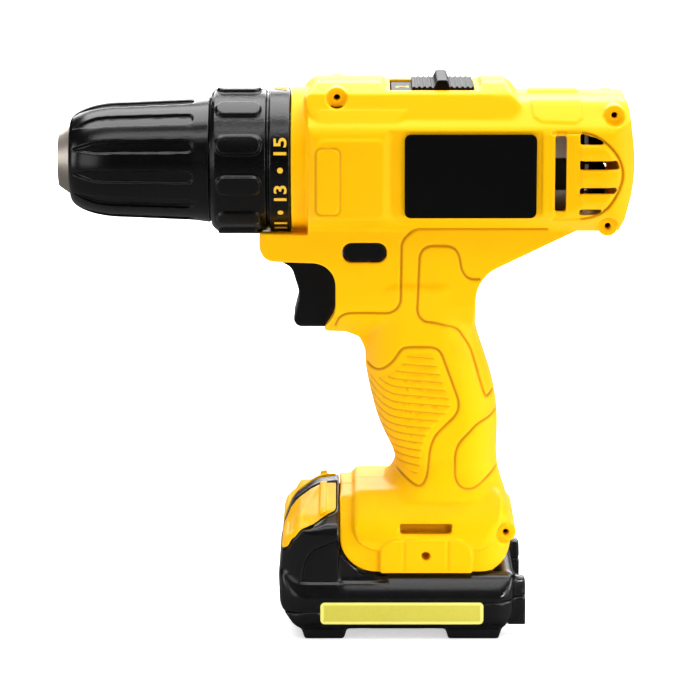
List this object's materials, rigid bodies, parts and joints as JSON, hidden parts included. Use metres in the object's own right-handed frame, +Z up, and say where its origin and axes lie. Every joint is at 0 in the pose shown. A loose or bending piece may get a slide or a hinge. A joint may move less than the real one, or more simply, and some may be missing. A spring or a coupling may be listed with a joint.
{
  "type": "cordless hammer drill",
  "caption": "Pistol-grip cordless drill with a keyless chuck, numbered clutch collar, two-speed slide, trigger and slide-on battery foot.",
  "frame": {"origin": "middle of the box that holds the drill, on the floor under the battery feet", "axes": "+X to the rear of the tool, chuck towards -X, +Z up, +Y to the right side, y = 0 is the clamshell parting plane"},
  "size_m": [0.1881, 0.064, 0.1836],
  "materials": {
    "yellow_plastic": "fine moulded texture",
    "black_plastic": "moulded",
    "steel": "machined",
    "cast_alloy": "die cast",
    "brass": "plain",
    "black_ceramic": "sintered",
    "lead_cover": "smooth",
    "pale_label": "printed film",
    "clear_lens": "clear"
  },
  "bodies": {
    "housing": {"left_housing": "yellow_plastic", "right_housing": "yellow_plastic", "housing_screws": "steel", "label_plates": "black_plastic", "switch_module": "black_plastic", "led_lens": "clear_lens", "terminal_block": "black_plastic", "terminal_blades": "brass", "wiring": "lead_cover", "gear_case": "cast_alloy", "motor_plate": "steel", "spindle_bearing": "brass", "ring_gear": "steel", "clutch_ring_gear": "steel", "hammer_cam_fixed": "steel", "clutch_spring": "steel", "clutch_plate": "steel", "motor_can": "steel", "motor_magnets": "black_ceramic", "motor_endbell": "black_plastic", "carbon_brushes": "black_ceramic"},
    "rotor": {"motor_shaft": "steel", "motor_pinion": "steel", "rotor_core": "steel", "commutator": "brass", "cooling_fan": "black_plastic"},
    "mid_carrier": {"carrier_1": "steel", "carrier_2": "steel", "stage2_planets": "steel"},
    "spindle": {"spindle": "steel", "chuck_body": "steel", "chuck_screw": "steel", "hammer_cam_turning": "steel"},
    "shift_ring": {"shift_ring": "steel"},
    "chuck_sleeve": {"chuck_sleeve": "black_plastic", "chuck_nut": "steel"},
    "clutch_collar": {"clutch_collar": "black_plastic"},
    "clutch_nut": {"clutch_nut": "steel"},
    "speed_selector": {"speed_selector": "black_plastic", "shift_wire": "steel"},
    "trigger": {"trigger": "black_plastic"},
    "direction_lever": {"direction_lever": "black_plastic"},
    "battery": {"battery_top_case": "black_plastic", "battery_base": "black_plastic", "battery_cells": "steel", "battery_contacts": "brass", "latch_springs": "steel", "battery_screws": "steel", "battery_labels": "pale_label"},
    "latch_left": {"battery_latch_left": "yellow_plastic"},
    "latch_right": {"battery_latch_right": "yellow_plastic"},
    "stage1_planet_1": {"stage1_planet_1": "steel"},
    "stage3_planet_1": {"stage3_planet_1": "steel"},
    "chuck_jaw_1": {"chuck_jaw_1": "steel"},
    "stage1_planet_2": {"stage1_planet_2": "steel"},
    "stage3_planet_2": {"stage3_planet_2": "steel"},
    "chuck_jaw_2": {"chuck_jaw_2": "steel"},
    "stage1_planet_3": {"stage1_planet_3": "steel"},
    "stage3_planet_3": {"stage3_planet_3": "steel"},
    "chuck_jaw_3": {"chuck_jaw_3": "steel"}
  },
  "joints": [
    {"name": "rotor_spin", "type": "hinge", "parent": "housing", "child": "rotor", "pos_m": [0, 0, 0.1555], "axis": [1, 0, 0], "continuous": true},
    {"name": "mid_carrier_spin", "type": "hinge", "parent": "housing", "child": "mid_carrier", "pos_m": [0, 0, 0.1555], "axis": [1, 0, 0], "continuous": true},
    {"name": "spindle_spin", "type": "hinge", "parent": "housing", "child": "spindle", "pos_m": [0, 0, 0.1555], "axis": [1, 0, 0], "continuous": true},
    {"name": "stage1_planet_1_spin", "type": "hinge", "parent": "mid_carrier", "child": "stage1_planet_1", "pos_m": [0, 0.01073, 0.1555], "axis": [1, 0, 0], "continuous": true},
    {"name": "stage3_planet_1_spin", "type": "hinge", "parent": "spindle", "child": "stage3_planet_1", "pos_m": [0, 0.01073, 0.1555], "axis": [1, 0, 0], "continuous": true},
    {"name": "stage1_planet_2_spin", "type": "hinge", "parent": "mid_carrier", "child": "stage1_planet_2", "pos_m": [0, -0.00536, 0.16479], "axis": [1, 0, 0], "continuous": true},
    {"name": "stage3_planet_2_spin", "type": "hinge", "parent": "spindle", "child": "stage3_planet_2", "pos_m": [0, -0.00536, 0.16479], "axis": [1, 0, 0], "continuous": true},
    {"name": "stage1_planet_3_spin", "type": "hinge", "parent": "mid_carrier", "child": "stage1_planet_3", "pos_m": [0, -0.00536, 0.14621], "axis": [1, 0, 0], "continuous": true},
    {"name": "stage3_planet_3_spin", "type": "hinge", "parent": "spindle", "child": "stage3_planet_3", "pos_m": [0, -0.00536, 0.14621], "axis": [1, 0, 0], "continuous": true},
    {"name": "chuck_sleeve_turn", "type": "hinge", "parent": "spindle", "child": "chuck_sleeve", "pos_m": [0, 0, 0.1555], "axis": [1, 0, 0], "range_deg": [0, 3200]},
    {"name": "chuck_jaw_1_slide", "type": "slide", "parent": "spindle", "child": "chuck_jaw_1", "axis": [-0.9703, 0, -0.2419], "range_m": [0, 0.0178]},
    {"name": "chuck_jaw_2_slide", "type": "slide", "parent": "spindle", "child": "chuck_jaw_2", "axis": [-0.9703, 0.2095, 0.121], "range_m": [0, 0.0178]},
    {"name": "chuck_jaw_3_slide", "type": "slide", "parent": "spindle", "child": "chuck_jaw_3", "axis": [-0.9703, -0.2095, 0.121], "range_m": [0, 0.0178]},
    {"name": "clutch_collar_turn", "type": "hinge", "parent": "housing", "child": "clutch_collar", "pos_m": [0, 0, 0.1555], "axis": [-1, 0, 0], "range_deg": [0, 309]},
    {"name": "clutch_nut_slide", "type": "slide", "parent": "clutch_collar", "child": "clutch_nut", "axis": [-1, 0, 0], "range_m": [0, 0.0043], "deforming": ["clutch_spring"]},
    {"name": "speed_selector_slide", "type": "slide", "parent": "housing", "child": "speed_selector", "axis": [-1, 0, 0], "range_m": [0, 0.006]},
    {"name": "shift_ring_slide", "type": "slide", "parent": "mid_carrier", "child": "shift_ring", "axis": [-1, 0, 0], "range_m": [0, 0.006]},
    {"name": "trigger_pull", "type": "slide", "parent": "housing", "child": "trigger", "axis": [1, 0, 0], "range_m": [0, 0.006], "stiffness_N_per_m": 800, "springref_m": -0.006},
    {"name": "direction_lever_slide", "type": "slide", "parent": "housing", "child": "direction_lever", "axis": [0, -1, 0], "range_m": [0, 0.0036]},
    {"name": "battery_slide", "type": "slide", "parent": "housing", "child": "battery", "axis": [-1, 0, 0], "range_m": [0, 0.065]},
    {"name": "latch_left_press", "type": "slide", "parent": "battery", "child": "latch_left", "axis": [0, 1, 0], "range_m": [0, 0.002], "stiffness_N_per_m": 1500, "springref_m": -0.002, "deforming": ["latch_springs"]},
    {"name": "latch_right_press", "type": "slide", "parent": "battery", "child": "latch_right", "axis": [0, -1, 0], "range_m": [0, 0.002], "stiffness_N_per_m": 1500, "springref_m": -0.002, "deforming": ["latch_springs"]}
  ],
  "couplings": [
    {"joint": "rotor_spin", "follows": "mid_carrier_spin", "ratio": 3.6667},
    {"joint": "spindle_spin", "follows": "mid_carrier_spin", "ratio": 0.27273},
    {"joint": "stage1_planet_1_spin", "follows": "mid_carrier_spin", "ratio": -3.2},
    {"joint": "stage3_planet_1_spin", "follows": "mid_carrier_spin", "ratio": -0.87273},
    {"joint": "stage1_planet_2_spin", "follows": "mid_carrier_spin", "ratio": -3.2},
    {"joint": "stage3_planet_2_spin", "follows": "mid_carrier_spin", "ratio": -0.87273},
    {"joint": "stage1_planet_3_spin", "follows": "mid_carrier_spin", "ratio": -3.2},
    {"joint": "stage3_planet_3_spin", "follows": "mid_carrier_spin", "ratio": -0.87273},
    {"joint": "chuck_sleeve_turn", "follows": "chuck_jaw_1_slide", "rad_per_m": 3137.7},
    {"joint": "chuck_jaw_2_slide", "follows": "chuck_jaw_1_slide", "ratio": 1},
    {"joint": "chuck_jaw_3_slide", "follows": "chuck_jaw_1_slide", "ratio": 1},
    {"joint": "clutch_collar_turn", "follows": "clutch_nut_slide", "rad_per_m": 1254.2},
    {"joint": "shift_ring_slide", "follows": "speed_selector_slide", "ratio": 1}
  ]
}
